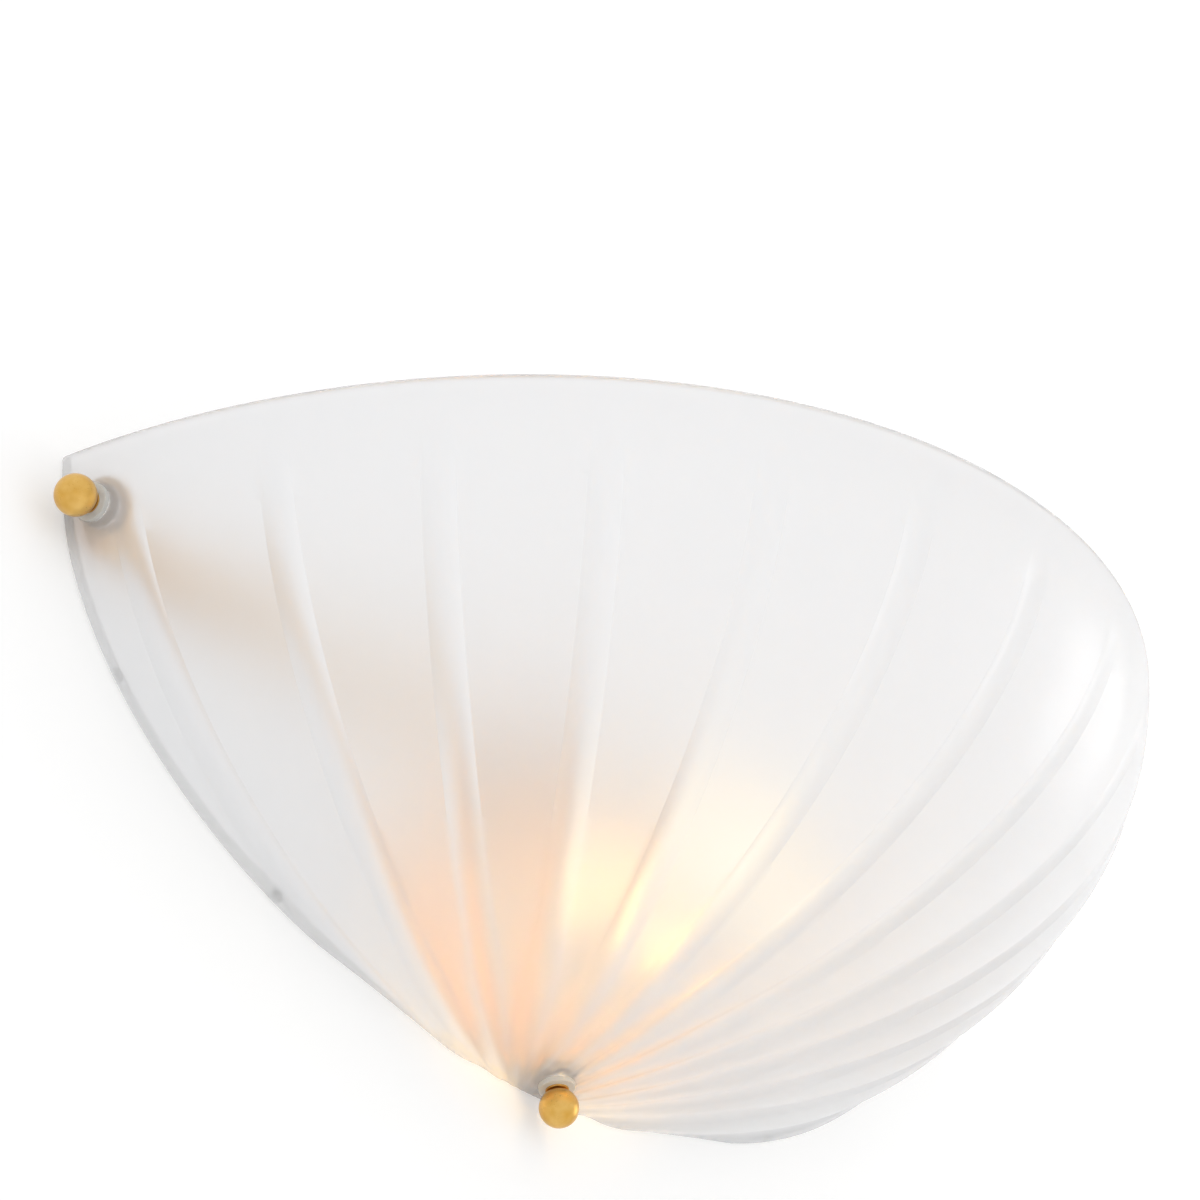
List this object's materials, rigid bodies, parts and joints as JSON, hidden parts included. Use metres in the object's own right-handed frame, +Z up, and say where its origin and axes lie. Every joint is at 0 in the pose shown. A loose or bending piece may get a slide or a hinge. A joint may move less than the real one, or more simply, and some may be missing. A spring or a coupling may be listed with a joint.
{
  "type": "shell wall sconce",
  "caption": "Half-bowl of fluted frosted glass, open at the top, held off a wall frame by ball-headed screws at both sides and below, with a globe lamp inside",
  "frame": {"origin": "middle of the back plate's wall face", "axes": "+Y into the wall, -Y out towards the room, +X along the wall, +Z up"},
  "size_m": [0.3654, 0.1699, 0.1226],
  "materials": {
    "frosted_glass": "smooth outside, frosted inside",
    "clear_plastic": "clear",
    "brass": "satin",
    "brass_frame": "brushed",
    "zinc_steel": "zinc plated",
    "rubber": "matte",
    "grey_silicone": "matte",
    "ceramic": "glazed",
    "nickel": "nickel plated",
    "copper": "bright",
    "black_insulator": "vitrified",
    "opal_glass": "opal",
    "dark_plastic": "matte",
    "brown_lead": "satin",
    "blue_lead": "satin",
    "green_lead": "satin"
  },
  "bodies": {
    "wall_frame": {"glass_bowl": "frosted_glass", "wall_pads": "clear_plastic", "left_clear_sleeve": "clear_plastic", "left_gasket": "grey_silicone", "left_threaded_boss": "brass_frame", "right_clear_sleeve": "clear_plastic", "right_gasket": "grey_silicone", "right_threaded_boss": "brass_frame", "bottom_clear_sleeve": "clear_plastic", "bottom_gasket": "grey_silicone", "bottom_threaded_boss": "brass_frame", "back_plate": "brass_frame", "cross_bar": "brass_frame", "lower_arm": "brass_frame", "frame_screws": "zinc_steel", "lamp_holder_body": "ceramic", "lamp_holder_shell": "nickel", "lamp_holder_contact": "copper", "lamp_holder_screws": "zinc_steel", "terminal_block": "dark_plastic", "terminal_screws": "zinc_steel", "lead_live": "brown_lead", "lead_neutral": "blue_lead", "lead_earth": "green_lead", "cable_grommet": "rubber", "earth_terminal": "copper", "earth_screw": "zinc_steel"},
    "left_screw_travel": {"left_washer": "brass"},
    "left_screw": {"left_ball_head": "brass", "left_stud": "zinc_steel"},
    "right_screw_travel": {"right_washer": "brass"},
    "right_screw": {"right_ball_head": "brass", "right_stud": "zinc_steel"},
    "bottom_screw_travel": {"bottom_washer": "brass"},
    "bottom_screw": {"bottom_ball_head": "brass", "bottom_stud": "zinc_steel"},
    "lamp_travel": {"lamp_tip": "copper"},
    "lamp": {"lamp_insulator": "black_insulator", "lamp_cap": "nickel", "lamp_globe": "opal_glass"}
  },
  "joints": [
    {"name": "left_screw_slide", "type": "slide", "parent": "wall_frame", "child": "left_screw_travel", "axis": [-0.9537, -0.1823, -0.2392], "range_m": [0, 0.0056]},
    {"name": "left_screw_turn", "type": "hinge", "parent": "left_screw_travel", "child": "left_screw", "pos_m": [-0.17139, -0.0094, 0.0395], "axis": [-0.9537, -0.1823, -0.2392], "range_deg": [0, 2880]},
    {"name": "right_screw_slide", "type": "slide", "parent": "wall_frame", "child": "right_screw_travel", "axis": [0.9537, -0.1823, -0.2392], "range_m": [0, 0.0056]},
    {"name": "right_screw_turn", "type": "hinge", "parent": "right_screw_travel", "child": "right_screw", "pos_m": [0.17139, -0.0094, 0.0395], "axis": [0.9537, -0.1823, -0.2392], "range_deg": [0, 2880]},
    {"name": "bottom_screw_slide", "type": "slide", "parent": "wall_frame", "child": "bottom_screw_travel", "axis": [0, -0.1293, -0.9916], "range_m": [0, 0.0056]},
    {"name": "bottom_screw_turn", "type": "hinge", "parent": "bottom_screw_travel", "child": "bottom_screw", "pos_m": [0, -0.0084, -0.05497], "axis": [0, -0.1293, -0.9916], "range_deg": [0, 2880]},
    {"name": "lamp_slide", "type": "slide", "parent": "wall_frame", "child": "lamp_travel", "axis": [0, -1, 0], "range_m": [0, 0.0168]},
    {"name": "lamp_turn", "type": "hinge", "parent": "lamp_travel", "child": "lamp", "pos_m": [0, -0.03, -0.004], "axis": [0, -1, 0], "range_deg": [0, 2160]}
  ],
  "couplings": [
    {"joint": "left_screw_turn", "follows": "left_screw_slide", "rad_per_m": 8975.9},
    {"joint": "right_screw_turn", "follows": "right_screw_slide", "rad_per_m": 8975.9},
    {"joint": "bottom_screw_turn", "follows": "bottom_screw_slide", "rad_per_m": 8975.9},
    {"joint": "lamp_turn", "follows": "lamp_slide", "rad_per_m": 2244}
  ]
}
